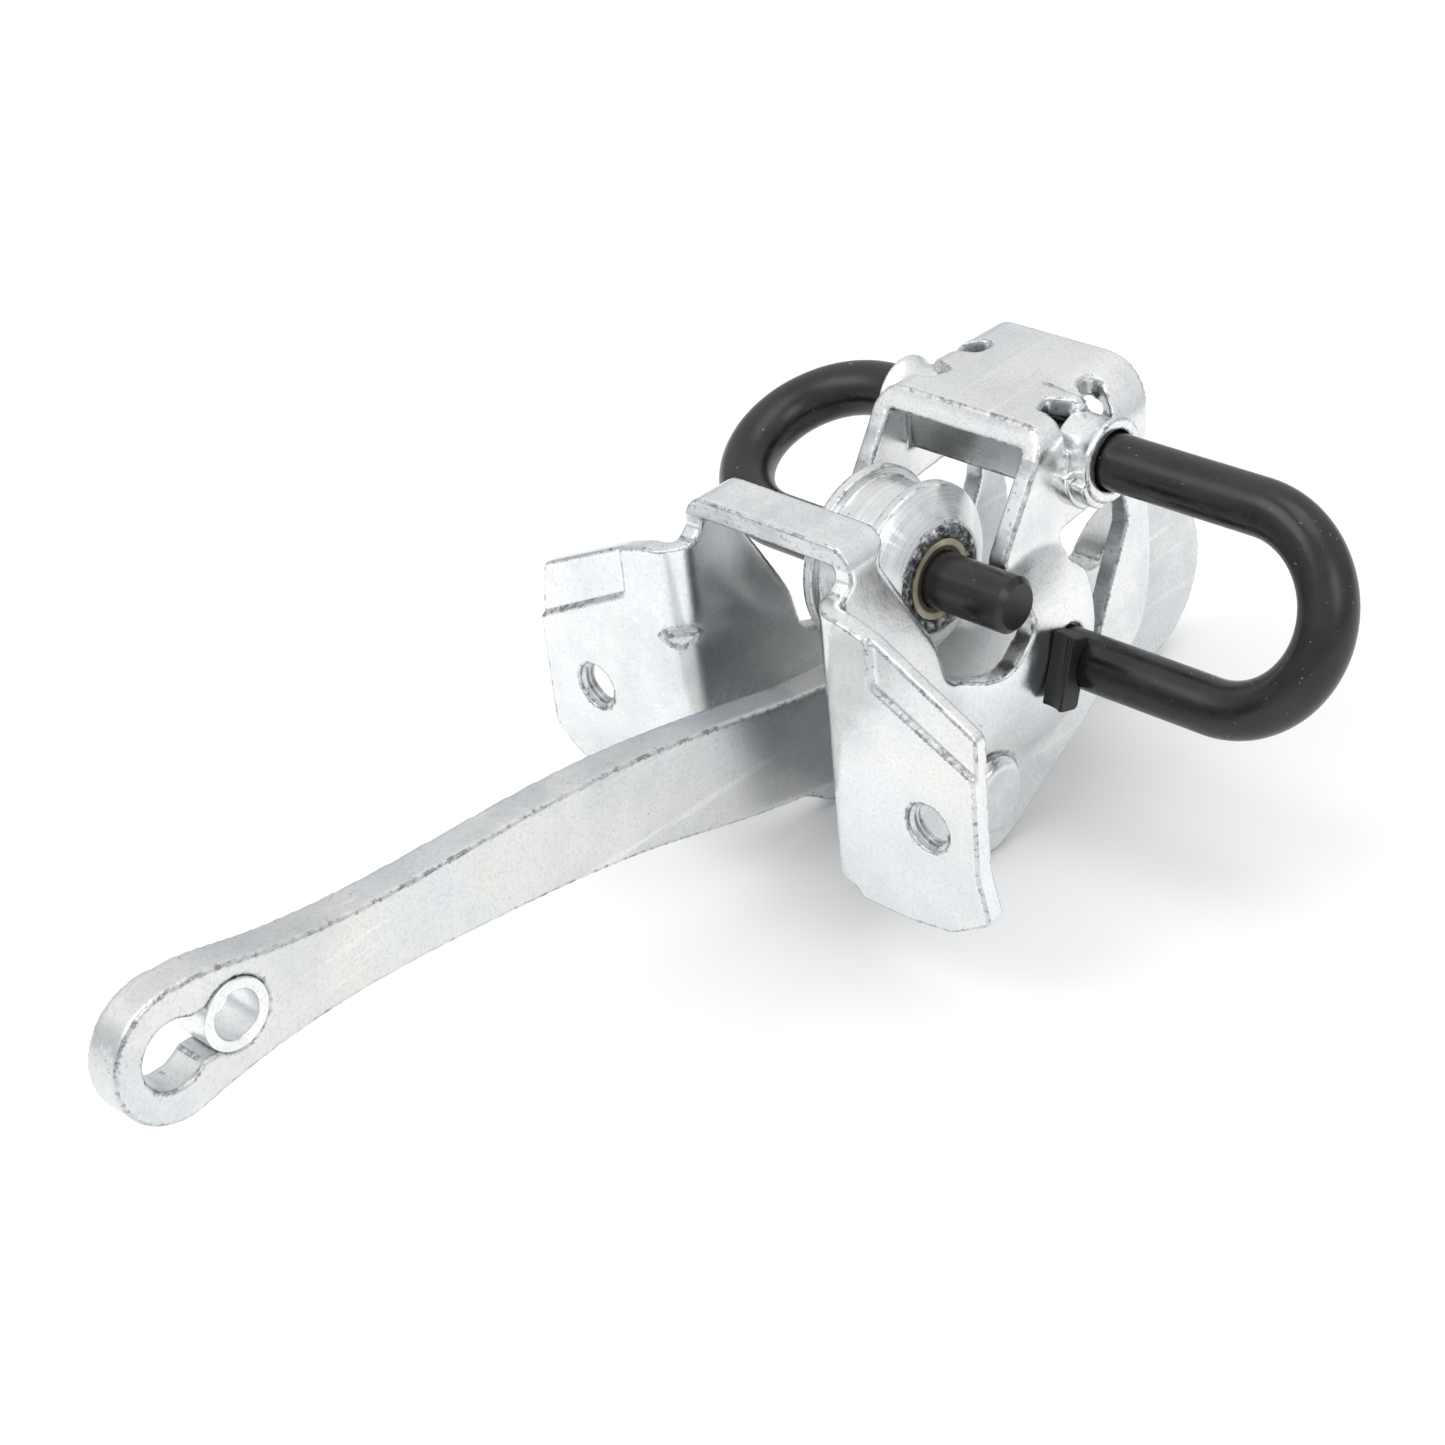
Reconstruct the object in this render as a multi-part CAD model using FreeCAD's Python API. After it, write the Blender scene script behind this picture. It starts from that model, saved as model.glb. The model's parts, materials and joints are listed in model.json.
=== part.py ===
import FreeCAD, Part
import math
import os

# Frame: the origin is midway between the two tapped mounting holes, on the flanges' front face.
# +X runs along the roller's axis, +Y into the door, +Z up. All sizes are in millimetres.

V = FreeCAD.Vector
os.makedirs("parts", exist_ok=True)

# ---- sheet-metal bracket ----
SHEET = 3.0
CHANNEL_WIDTH = 29.4
CHANNEL_TOP = 32.3
CORNER_R = 4.0
FLANGE_BEND_R = 1.4
BRIDGE_FRONT = 5.9
BRIDGE_REAR = 13.5
PLATE_FRONT = 46.0
PLATE_REAR = 70.6
PLATE_CORNER_R = 4.0
REAR_CORNER_R = 9.0
REAR_CORNER_Y = 57.0
HOLE_PITCH = 60.0
TAP_R = 3.4
COIN_DEPTH = 0.8
STEP_SLOPE = 0.5
LIP_SETBACK = 2.0
LIP_THICKNESS = 2.4
LIP_BOTTOM = 21.7
COIN_INSET = 5.7
COLLAR_WALL = 1.5
COLLAR_LENGTH = 4.0
DART_DEPTH = 1.0
DART_HALF_HEIGHT = 1.5
DART_Z = 13.0
SLOT_TONGUE_RIGHT = -1.5
SLOT_TONGUE_LEFT = 0.5
SLOT_DEPTH = 5.6
DOME_HEIGHT = 4.6
DOME_R = 15.5
DOME_Y = 41.0
DOME_Z = 1.0
DOME_BLEND_R = 4.0

# ---- bent-wire spring ----
WIRE_R = 4.0
BAR_Y = 55.2
BAR_Z = 24.8
ANCHOR_Y = 43.6
ANCHOR_Z = 0.2
ROLLER_Y = 30.0
ROLLER_Z = 15.1
RIGHT_LOOP_X = 42.5
LEFT_LOOP_X = -21.0
PIN_END_X = 21.5
PIN_CHAMFER = 0.8
SPLIT_GAP = 0.3
WIRE_CLEARANCE = 0.3
BLOCK_THICKNESS = 4.0
BLOCK_FRONT = 6.2
BLOCK_BACK = -2.3
BLOCK_ABOVE = 4.3
BLOCK_BELOW = 6.3
BLOCK_LEAN = 18.0
BLOCK_HOLLOW = 1.1

# ---- roller and its bush ----
ROLLER_R = 12.7
GROOVE_R = 11.3
GROOVE_PLAY = 1.3
RIM_WIDTH = 1.7
HUB_R = 8.0
HUB_LENGTH = 16.2
BUSH_R = 5.7
BUSH_STAND = 0.2
BUSH_CLEARANCE = 0.1

# ---- check arm ----
ARM_THICKNESS = 5.5
SLIDE_SLOPE = 0.18
TRACK_GAP = 0.2
HEAD_R = 14.0
HEAD_Y = 82.5
HEAD_Z = -12.5
TIP_R = 8.8
TIP_Y = -95.4
TIP_Z = 12.2
EYE_Y = -87.3
EYE_Z = 12.8
EYE_BUSH_R = 4.6
EYE_BORE_R = 3.1
EYE_BUSH_STAND = 0.2
LOBE_R = 4.4
LOBE_Y = -95.9
LOBE_Z = 12.4
NECK_WIDTH = 6.4
DETENT_DEPTH = 1.0
DETENT_R = 14.0
DETENTS_Y = (48.0, 62.0)

# ---- lower rivet and sleeve ----
RIVET_Y = 30.2
RIVET_Z = -17.2
RIVET_SHANK_R = 2.2
RIVET_HEAD_R = 5.9
RIVET_HEAD = 2.0
RIVET_SEAT = 0.3
SLEEVE_R = 3.0
SLEEVE_CLEARANCE = 0.05
SLEEVE_END_GAP = 0.3
LOBE_EDGE_R = 10.2

# ---- sizes that follow from those above ----
HALF = CHANNEL_WIDTH / 2
INNER = HALF - SHEET
HOLE_X = HOLE_PITCH / 2
BEND_X = INNER + SHEET + FLANGE_BEND_R
BEND_Y = SHEET + FLANGE_BEND_R
COIN_START = BEND_X + COIN_INSET
GROOVE_WIDTH = ARM_THICKNESS + GROOVE_PLAY
BUSH_LENGTH = HUB_LENGTH + 2 * BUSH_STAND
EYE_BUSH_LENGTH = ARM_THICKNESS + 2 * EYE_BUSH_STAND
WIRE_HOLE_R = WIRE_R + WIRE_CLEARANCE
DOME_SPHERE_R = (DOME_R ** 2 + DOME_HEIGHT ** 2) / (2 * DOME_HEIGHT)
BLOCK_INNER_X = HALF + DOME_HEIGHT
COLLAR_R = WIRE_HOLE_R + COLLAR_WALL
BUSH_BORE_R = WIRE_R + BUSH_CLEARANCE
TRACK_TOP = ROLLER_Z - GROOVE_R - TRACK_GAP
TRACK_BOTTOM = RIVET_Z + SLEEVE_R + TRACK_GAP
OUT = 200.0


def rounded(points, place):
    """A closed wire through corner points (a, b, radius); each corner is an arc of its radius."""
    count = len(points)
    edges = []
    ends = []
    for i in range(count):
        a = V(points[i - 1][0], points[i - 1][1], 0)
        b = V(points[i][0], points[i][1], 0)
        c = V(points[(i + 1) % count][0], points[(i + 1) % count][1], 0)
        radius = points[i][2]
        into = (a - b).normalize()
        away = (c - b).normalize()
        half = into.getAngle(away) / 2
        if radius <= 0 or half > math.pi / 2 - 0.01:
            ends.append((b, None, b))
            continue
        reach = radius / math.tan(half)
        reach = min(reach, 0.49 * (a - b).Length, 0.49 * (c - b).Length)
        used = reach * math.tan(half)
        middle = (into + away).normalize()
        centre = b + middle * (used / math.sin(half))
        ends.append((b + into * reach, centre - middle * used, b + away * reach))
    for i in range(count):
        start, mid, end = ends[i]
        if mid is not None:
            edges.append(Part.Arc(place(start), place(mid), place(end)).toShape())
        after = ends[(i + 1) % count][0]
        if (after - end).Length > 1e-6:
            edges.append(Part.makeLine(place(end), place(after)))
    return Part.Wire(edges)


def side_prism(points, x0, x1):
    """An outline drawn in the (Y, Z) plane, as a solid from x0 to x1."""
    wire = rounded(points, lambda p: V(x0, p.x, p.y))
    return Part.Face(wire).extrude(V(x1 - x0, 0, 0))


def front_prism(points, y0, y1):
    """An outline drawn in the (X, Z) plane, as a solid from y0 to y1."""
    wire = rounded(points, lambda p: V(p.x, y0, p.y))
    return Part.Face(wire).extrude(V(0, y1 - y0, 0))


def plan_prism(points, z0, z1):
    """An outline drawn in the (X, Y) plane, as a solid from z0 to z1."""
    wire = rounded(points, lambda p: V(p.x, p.y, z0))
    return Part.Face(wire).extrude(V(0, 0, z1 - z0))


def rod(radius, x0, x1, y, z):
    """A round bar along X."""
    return Part.makeCylinder(radius, x1 - x0, V(x0, y, z), V(1, 0, 0))


def turned(profile, y, z):
    """A solid of revolution about an axis along X; the profile is (x, radius) points."""
    points = [V(x, r, 0) for x, r in profile]
    face = Part.Face(Part.makePolygon(points + [points[0]]))
    solid = face.revolve(V(0, 0, 0), V(1, 0, 0), 360)
    solid.translate(V(0, y, z))
    return solid


def mirrored(shape):
    """The shape's mirror image across the bracket's middle plane."""
    return shape.mirror(V(0, 0, 0), V(1, 0, 0))


# ---------------------------------------------------------------- bracket

def side_outline():
    """The bracket seen from the side: bridge, valley, rear frame and the lobe for the rivet."""
    lobe = []
    for degrees in (-58, -78, -98, -118, -138):
        t = math.radians(degrees)
        lobe.append((RIVET_Y + LOBE_EDGE_R * math.cos(t), RIVET_Z + LOBE_EDGE_R * math.sin(t), 8))
    return [
        (BRIDGE_FRONT, CHANNEL_TOP + 5, 0),
        (BRIDGE_REAR, CHANNEL_TOP + 5, 0),
        (BRIDGE_REAR, CHANNEL_TOP - 1.5, 3),
        (11.2, 28.6, 3),
        (16.9, 19.1, 20),
        (21.5, 11.3, 12),
        (23.2, 4.2, 4),
        (31.5, 1.3, 5),
        (37.4, 7.2, 3),
        (35.6, 16.4, 2.5),
        (PLATE_FRONT, CHANNEL_TOP, 4),
        (PLATE_FRONT, CHANNEL_TOP + 5, 0),
        (PLATE_REAR, CHANNEL_TOP + 5, 0),
        (PLATE_REAR, 31.0, 5),
        (67.2, 21.0, 10),
        (69.2, 3.0, 10),
        (66.2, -8.2, 8),
        (43.5, -21.4, 20),
    ] + lobe + [
        (9.0, -16.5, 8),
        (BEND_Y, -14.5, 1),
        (BEND_Y, 26.6, 0.6),
        (BRIDGE_FRONT, 27.6, 1),
    ]


def channel(left_r, right_r, y0, y1):
    """A length of the folded channel, open below, with bends of the given outer radii."""
    low = -60.0
    top = CHANNEL_TOP - SHEET
    outer = [(-HALF, low, 0), (-HALF, CHANNEL_TOP, left_r), (HALF, CHANNEL_TOP, right_r), (HALF, low, 0)]
    inner = [(-INNER, low - 1, 0), (-INNER, top, left_r - SHEET), (INNER, top, right_r - SHEET), (INNER, low - 1, 0)]
    return front_prism(outer, y0, y1).cut(front_prism(inner, y0 - 1, y1 + 1))


def window():
    """The window through both side plates, behind the anchor dome."""
    points = [
        (47.6, 16.0, 1.5),
        (61.6, 17.4, 1.5),
        (63.2, 11.0, 4),
        (55.6, -4.4, 3),
        (48.0, -8.0, 2),
        (51.9, 0.5, 4),
        (51.9, 9.0, 3),
        (48.2, 12.2, 1),
    ]
    return side_prism(points, -HALF - 8, HALF + 8)


def dome():
    """The boss pressed outward in the right plate, blended into it, and the hollow behind it."""
    ball = V(HALF + DOME_HEIGHT - DOME_SPHERE_R, 0, 0)
    rise = HALF + DOME_BLEND_R - ball.x
    reach = math.sqrt((DOME_SPHERE_R + DOME_BLEND_R) ** 2 - rise ** 2)
    blend = V(HALF + DOME_BLEND_R, reach, 0)
    foot = V(HALF, reach, 0)
    meet = ball + (blend - ball).normalize() * DOME_SPHERE_R
    blend_mid = blend + ((foot - blend) + (meet - blend)).normalize() * DOME_BLEND_R
    top = V(HALF + DOME_HEIGHT, 0, 0)
    ball_mid = ball + ((top - ball) + (meet - ball)).normalize() * DOME_SPHERE_R
    edges = [
        Part.makeLine(V(HALF - 0.5, 0, 0), V(HALF - 0.5, reach, 0)),
        Part.makeLine(V(HALF - 0.5, reach, 0), foot),
        Part.Arc(foot, blend_mid, meet).toShape(),
        Part.Arc(meet, ball_mid, top).toShape(),
        Part.makeLine(top, V(HALF - 0.5, 0, 0)),
    ]
    boss = Part.Face(Part.Wire(edges)).revolve(V(0, 0, 0), V(1, 0, 0), 360)
    boss.translate(V(0, DOME_Y, DOME_Z))
    return boss, Part.makeSphere(DOME_SPHERE_R - SHEET, ball + V(0, DOME_Y, DOME_Z))


def flange(outline, step_z):
    """A mounting flange to the right of the channel, with its bend, coined strip and tapped hole."""
    bend_outer = Part.makeCylinder(SHEET + FLANGE_BEND_R, 60, V(BEND_X, BEND_Y, -25), V(0, 0, 1))
    bend_inner = Part.makeCylinder(FLANGE_BEND_R, 60, V(BEND_X, BEND_Y, -25), V(0, 0, 1))
    quarter = Part.makeBox(SHEET + FLANGE_BEND_R, BEND_Y, 60, V(INNER, 0, -25))
    blank = bend_outer.cut(bend_inner).common(quarter)
    blank = blank.fuse(Part.makeBox(40, SHEET, 60, V(BEND_X, 0, -25)))
    strip = [
        (COIN_START, step_z - STEP_SLOPE * COIN_START, 1.5),
        (60, step_z - STEP_SLOPE * 60, 0),
        (60, 60, 0),
        (COIN_START, 60, 0),
    ]
    body = blank.common(front_prism(outline, -1, BEND_Y + 1))
    body = body.cut(front_prism(strip, -1, COIN_DEPTH))
    hole = Part.makeCylinder(TAP_R, SHEET + 2, V(HOLE_X, -1, 0), V(0, 1, 0))
    return body.cut(hole)


def right_flange():
    """The right flange: its outer edge is straight, its lower corner drops outward."""
    outline = [
        (INNER - 1, -14.5, 0),
        (BEND_X + 0.3, -14.5, 0.5),
        (BEND_X + 1.5, -16.1, 1.2),
        (HOLE_X - 4.7, -16.3, 8),
        (HOLE_X + 3.0, -15.3, 4),
        (HOLE_X + 9.6, -11.4, 1.5),
        (HOLE_X + 8.0, -5.0, 6),
        (HOLE_X + 8.1, 15.6, 1.5),
        (BEND_X + 5.9, 24.4, 5),
        (BEND_X + 1.4, 25.9, 3),
        (INNER - 1, 26.6, 0),
    ]
    return flange(outline, 29.0)


def left_flange():
    """The left flange, drawn on the right and mirrored."""
    outline = [
        (INNER - 1, -14.5, 0),
        (BEND_X + 0.3, -14.5, 0.5),
        (HOLE_X - 4.0, -15.4, 8),
        (HOLE_X + 5.6, -13.0, 4),
        (HOLE_X + 9.7, -9.4, 3),
        (HOLE_X + 9.9, 10.0, 8),
        (HOLE_X + 8.6, 16.6, 1.2),
        (BEND_X + 5.4, 24.6, 6),
        (BEND_X + 1.4, 25.9, 3),
        (INNER - 1, 26.6, 0),
    ]
    return mirrored(flange(outline, 28.2))


def collar():
    """The rolled collar round the torsion bar on the right plate: a neck that flares at its lip."""
    profile = [
        (INNER, WIRE_HOLE_R - 1),
        (INNER, COLLAR_R - 0.3),
        (HALF + 1.2, COLLAR_R - 0.4),
        (HALF + 2.4, COLLAR_R - 0.2),
        (HALF + 3.2, COLLAR_R + 0.3),
        (HALF + COLLAR_LENGTH, COLLAR_R + 0.3),
        (HALF + COLLAR_LENGTH, WIRE_HOLE_R - 1),
    ]
    return turned(profile, BAR_Y, BAR_Z)


def bend_dart():
    """The stiffening dart pressed into the left flange's bend: a groove across the round corner."""
    bend_r = SHEET + FLANGE_BEND_R
    side = math.sqrt(0.5)
    corner = V(-BEND_X + bend_r * side, BEND_Y - bend_r * side, DART_Z)
    outward = V(side, -side, 0)
    run = V(side, side, 0) * 8
    deep = corner - outward * DART_DEPTH - run
    high = corner + outward * DART_DEPTH - run + V(0, 0, 2 * DART_HALF_HEIGHT)
    low = corner + outward * DART_DEPTH - run - V(0, 0, 2 * DART_HALF_HEIGHT)
    return Part.Face(Part.makePolygon([deep, high, low, deep])).extrude(run * 2)


def relief_slot(tongue):
    """The slot round a collar, through the bend of the rear top plate; a tongue points into it."""
    points = [
        (HALF - 6.4, BAR_Y + 7.6, 1.2),
        (HALF - 6.1, BAR_Y + 5.0, 1.2),
        (HALF + tongue, BAR_Y + 2.6, 0.5),
        (HALF - 2.5, BAR_Y, 1.2),
        (HALF - 6.4, BAR_Y - 1.5, 0.8),
        (HALF - 5.1, BAR_Y - 4.6, 1.2),
        (HALF + 3, BAR_Y - 6.0, 0),
        (HALF + 3, BAR_Y + 5.4, 0),
        (HALF - 1.3, BAR_Y + 6.4, 3),
        (HALF - 4.8, BAR_Y + 8.4, 1.2),
    ]
    return plan_prism(points, CHANNEL_TOP - SLOT_DEPTH, CHANNEL_TOP + 1)


def cross_lip():
    """The lip folded down between the side plates, in front of the torsion bar."""
    y0 = PLATE_FRONT + LIP_SETBACK
    points = [
        (-INNER - 0.5, CHANNEL_TOP - SHEET / 2, 0),
        (-INNER - 0.5, LIP_BOTTOM, 0),
        (INNER + 0.5, LIP_BOTTOM, 0),
        (INNER + 0.5, CHANNEL_TOP - SHEET / 2, 0),
    ]
    return front_prism(points, y0, y0 + LIP_THICKNESS)


def bracket():
    """The whole stamping, with every hole cut last."""
    body = channel(CORNER_R, CORNER_R, 0, REAR_CORNER_Y)
    body = body.fuse(channel(CORNER_R, REAR_CORNER_R, REAR_CORNER_Y, 90))
    boss, hollow = dome()
    body = body.fuse(boss)
    body = body.cut(hollow.common(Part.makeBox(30, OUT, OUT, V(INNER - 0.01, -50, -100))))
    body = body.common(side_prism(side_outline(), -HALF - 1, HALF + DOME_HEIGHT + 1))
    plan = [
        (-HALF - 9, -5, 0),
        (HALF + 9, -5, 0),
        (HALF + 9, PLATE_REAR - 9, 0),
        (HALF, PLATE_REAR - 9, 0),
        (HALF, PLATE_REAR, PLATE_CORNER_R),
        (-HALF, PLATE_REAR, PLATE_CORNER_R),
        (-HALF, PLATE_REAR - 9, 0),
        (-HALF - 9, PLATE_REAR - 9, 0),
    ]
    body = body.common(plan_prism(plan, -60, 60))
    body = body.cut([relief_slot(SLOT_TONGUE_RIGHT), mirrored(relief_slot(SLOT_TONGUE_LEFT))])
    body = body.fuse([right_flange(), left_flange(), collar(), mirrored(collar()), cross_lip()])
    body = body.cut([window(), bend_dart()])
    body = body.cut(rod(WIRE_HOLE_R, -OUT, OUT, BAR_Y, BAR_Z))
    body = body.cut(rod(WIRE_HOLE_R, 0, OUT, ANCHOR_Y, ANCHOR_Z))
    body = body.cut(rod(RIVET_SHANK_R, -OUT, OUT, RIVET_Y, RIVET_Z))
    body = body.cut(rod(RIVET_HEAD_R + RIVET_SEAT, HALF, OUT, RIVET_Y, RIVET_Z))
    return body.removeSplitter()


# ---------------------------------------------------------------- spring

def bent_wire(bar_end, loop_x, leg_y, leg_z, leg_end):
    """Wire from the torsion bar round a half-circle loop to a leg parallel with the bar."""
    side = math.copysign(1, loop_x)
    across = V(0, leg_y - BAR_Y, leg_z - BAR_Z)
    loop_r = across.Length / 2
    top = V(loop_x, BAR_Y, BAR_Z)
    low = V(loop_x, leg_y, leg_z)
    mid = (top + low) / 2 + V(side * loop_r, 0, 0)
    path = Part.Wire([
        Part.makeLine(V(bar_end, BAR_Y, BAR_Z), top),
        Part.Arc(top, mid, low).toShape(),
        Part.makeLine(low, V(leg_end, leg_y, leg_z)),
    ])
    circle = Part.makeCircle(WIRE_R, V(bar_end, BAR_Y, BAR_Z), V(side, 0, 0))
    return path.makePipeShell([Part.Wire(circle)], True, False)


def torsion_spring():
    """The anchored half of the wire: its leg ends in the dome's hole."""
    return bent_wire(SPLIT_GAP / 2, RIGHT_LOOP_X, ANCHOR_Y, ANCHOR_Z, HALF - 0.5)


def spring_lever():
    """The moving half of the wire: its leg is the roller's axle, with a chamfered end."""
    wire = bent_wire(-SPLIT_GAP / 2, LEFT_LOOP_X, ROLLER_Y, ROLLER_Z, 0)
    chamfer_x = PIN_END_X - PIN_CHAMFER
    leg = turned([(0, 0), (0, WIRE_R), (chamfer_x, WIRE_R), (PIN_END_X, WIRE_R - PIN_CHAMFER), (PIN_END_X, 0)],
                 ROLLER_Y, ROLLER_Z)
    return wire.fuse(leg).removeSplitter()


def anchor_block():
    """The block on the anchored leg, mostly in front of it: a hollow face and a blunt point below."""
    points = [
        (-BLOCK_FRONT, BLOCK_ABOVE, 0.6),
        (BLOCK_BACK, BLOCK_ABOVE, 0.6),
        (BLOCK_BACK, -BLOCK_BELOW, 0.8),
        (-BLOCK_FRONT, -BLOCK_BELOW, 0.6),
    ]
    block = side_prism(points, BLOCK_INNER_X, BLOCK_INNER_X + BLOCK_THICKNESS)
    scoop_r = 4.0
    scoop_at = V(BLOCK_INNER_X + 0.9, -BLOCK_FRONT - scoop_r + BLOCK_HOLLOW, -BLOCK_BELOW - 1)
    block = block.cut(Part.makeCylinder(scoop_r, BLOCK_BELOW + BLOCK_ABOVE + 2, scoop_at, V(0, 0, 1)))
    block.rotate(V(0, 0, 0), V(1, 0, 0), -BLOCK_LEAN)
    block.translate(V(0, ANCHOR_Y, ANCHOR_Z))
    return block.cut(rod(WIRE_R, 0, OUT, ANCHOR_Y, ANCHOR_Z))


# ---------------------------------------------------------------- roller

def roller():
    """The grooved roller with conical shoulders down to its hub."""
    g = GROOVE_WIDTH / 2
    rim = g + RIM_WIDTH
    hub = HUB_LENGTH / 2
    half = [(g, GROOVE_R), (g + 0.2, ROLLER_R), (rim, ROLLER_R), (rim + 0.6, ROLLER_R - 0.6), (hub, HUB_R)]
    profile = [(-hub, BUSH_R)] + [(-x, r) for x, r in reversed(half)] + half + [(hub, BUSH_R)]
    return turned(profile, ROLLER_Y, ROLLER_Z)


def roller_bush():
    """The plain bush pressed in the roller."""
    h = BUSH_LENGTH / 2
    return rod(BUSH_R, -h, h, ROLLER_Y, ROLLER_Z).cut(rod(BUSH_BORE_R, -h - 1, h + 1, ROLLER_Y, ROLLER_Z))


# ---------------------------------------------------------------- arm

def arm_edge(points):
    """A smooth edge of the arm through a few points."""
    curve = Part.BSplineCurve()
    curve.interpolate([V(-ARM_THICKNESS / 2, y, z) for y, z in points])
    return curve.toShape()


def track(y, level):
    """Height of a straight edge that runs parallel with the arm's sliding direction."""
    return level - SLIDE_SLOPE * (y - ROLLER_Y)


def check_arm():
    """The flat arm: eye, curved bar, track with detents and round head."""
    x = -ARM_THICKNESS / 2
    top = [(-93.9, 20.87), (-89.0, 20.3), (-83.2, 18.8), (-75.5, 17.2), (-60.0, 15.5), (-40.0, 14.4), (-24.0, 12.7),
           (-6.7, 9.35), (12.5, 5.4), (24.0, track(24.0, TRACK_TOP) - 0.5), (ROLLER_Y, TRACK_TOP)]
    bottom = [(ROLLER_Y, TRACK_BOTTOM), (20.0, track(20.0, TRACK_BOTTOM) + 0.15), (8.5, -9.9), (-2.9, -7.3),
              (-24.2, -1.4), (-41.6, 1.9), (-57.4, 4.1), (-72.5, 5.3), (-82.1, 5.1), (-93.5, 3.6)]
    head_side = HEAD_Y - 6
    edges = [
        arm_edge(top),
        Part.makeLine(V(x, ROLLER_Y, TRACK_TOP), V(x, head_side, track(head_side, TRACK_TOP))),
        Part.makeLine(V(x, head_side, track(head_side, TRACK_TOP)), V(x, head_side, track(head_side, TRACK_BOTTOM))),
        Part.makeLine(V(x, head_side, track(head_side, TRACK_BOTTOM)), V(x, ROLLER_Y, TRACK_BOTTOM)),
        arm_edge(bottom),
        Part.makeLine(V(x, -93.5, 3.6), V(x, -93.9, 20.87)),
    ]
    bar = Part.Face(Part.Wire(edges)).extrude(V(ARM_THICKNESS, 0, 0))
    tip = rod(TIP_R, x, -x, TIP_Y, TIP_Z)
    head = rod(HEAD_R, x, -x, HEAD_Y, HEAD_Z)
    arm = bar.fuse([tip, head])
    for y in DETENTS_Y:
        z = track(y, TRACK_TOP) + DETENT_R - DETENT_DEPTH
        arm = arm.cut(rod(DETENT_R, x - 1, -x + 1, y, z))
    bore = rod(EYE_BUSH_R, x - 1, -x + 1, EYE_Y, EYE_Z)
    lobe = rod(LOBE_R, x - 1, -x + 1, LOBE_Y, LOBE_Z)
    neck_z = (LOBE_Z + EYE_Z) / 2 - NECK_WIDTH / 2
    neck = Part.makeBox(ARM_THICKNESS + 2, EYE_Y - LOBE_Y, NECK_WIDTH, V(x - 1, LOBE_Y, neck_z))
    return arm.cut([bore, lobe, neck]).removeSplitter()


def eye_bush():
    """The bush in the arm's eye."""
    h = EYE_BUSH_LENGTH / 2
    return rod(EYE_BUSH_R, -h, h, EYE_Y, EYE_Z).cut(rod(EYE_BORE_R, -h - 1, h + 1, EYE_Y, EYE_Z))


# ---------------------------------------------------------------- rivet and sleeve

def lower_rivet():
    """The rivet through both side plates, with a low head at each end."""
    end = HALF + RIVET_HEAD
    half = [(HALF, RIVET_SHANK_R), (HALF, RIVET_HEAD_R), (HALF + 0.6, RIVET_HEAD_R), (end, RIVET_HEAD_R - 1.2)]
    profile = [(-end, 0)] + [(-x, r) for x, r in reversed(half)] + half + [(end, 0)]
    return turned(profile, RIVET_Y, RIVET_Z)


def guide_sleeve():
    """The sleeve that turns on the rivet and carries the arm's lower edge."""
    h = INNER - SLEEVE_END_GAP
    bore = RIVET_SHANK_R + SLEEVE_CLEARANCE
    return rod(SLEEVE_R, -h, h, RIVET_Y, RIVET_Z).cut(rod(bore, -h - 1, h + 1, RIVET_Y, RIVET_Z))


NODES = {
    "bracket": bracket,
    "check_arm": check_arm,
    "eye_bush": eye_bush,
    "roller": roller,
    "roller_bush": roller_bush,
    "torsion_spring": torsion_spring,
    "spring_lever": spring_lever,
    "anchor_block": anchor_block,
    "lower_rivet": lower_rivet,
    "guide_sleeve": guide_sleeve,
}

for name, make in NODES.items():
    shape = make()
    print(name, shape.isValid(), len(shape.Solids), round(shape.Volume, 1), shape.BoundBox)
    shape.exportStep("parts/" + name + ".step")
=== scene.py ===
"""Looks of a roller door check: a slotted arm runs between a wire-sprung roller and a guide sleeve,
in a folded zinc bracket."""

import json
import math

import bmesh
import bpy
from mathutils import Matrix, Vector, kdtree, noise


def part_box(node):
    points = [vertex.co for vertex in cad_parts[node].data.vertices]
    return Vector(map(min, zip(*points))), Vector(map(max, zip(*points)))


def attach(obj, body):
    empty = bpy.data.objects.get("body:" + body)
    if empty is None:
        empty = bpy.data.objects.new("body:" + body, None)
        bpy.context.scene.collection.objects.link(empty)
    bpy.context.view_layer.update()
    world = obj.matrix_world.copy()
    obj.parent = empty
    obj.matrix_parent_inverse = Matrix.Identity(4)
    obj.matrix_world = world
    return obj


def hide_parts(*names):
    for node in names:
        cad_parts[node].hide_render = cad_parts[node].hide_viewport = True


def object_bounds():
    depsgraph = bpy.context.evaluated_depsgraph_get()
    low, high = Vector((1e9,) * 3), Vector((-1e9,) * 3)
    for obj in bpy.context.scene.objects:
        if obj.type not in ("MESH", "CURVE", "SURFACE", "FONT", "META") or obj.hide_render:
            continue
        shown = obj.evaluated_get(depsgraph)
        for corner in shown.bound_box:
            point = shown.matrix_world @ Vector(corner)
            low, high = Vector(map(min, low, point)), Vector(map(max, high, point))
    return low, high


bl_info = {
    "name": "Roller door check",
    "version": (1, 0, 0),
    "blender": (4, 5, 0),
    "location": "View3D > Sidebar > Door Check",
    "description": "Finishes the pieces of a roller door check around its packed frame",
    "category": "Object",
}

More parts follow.
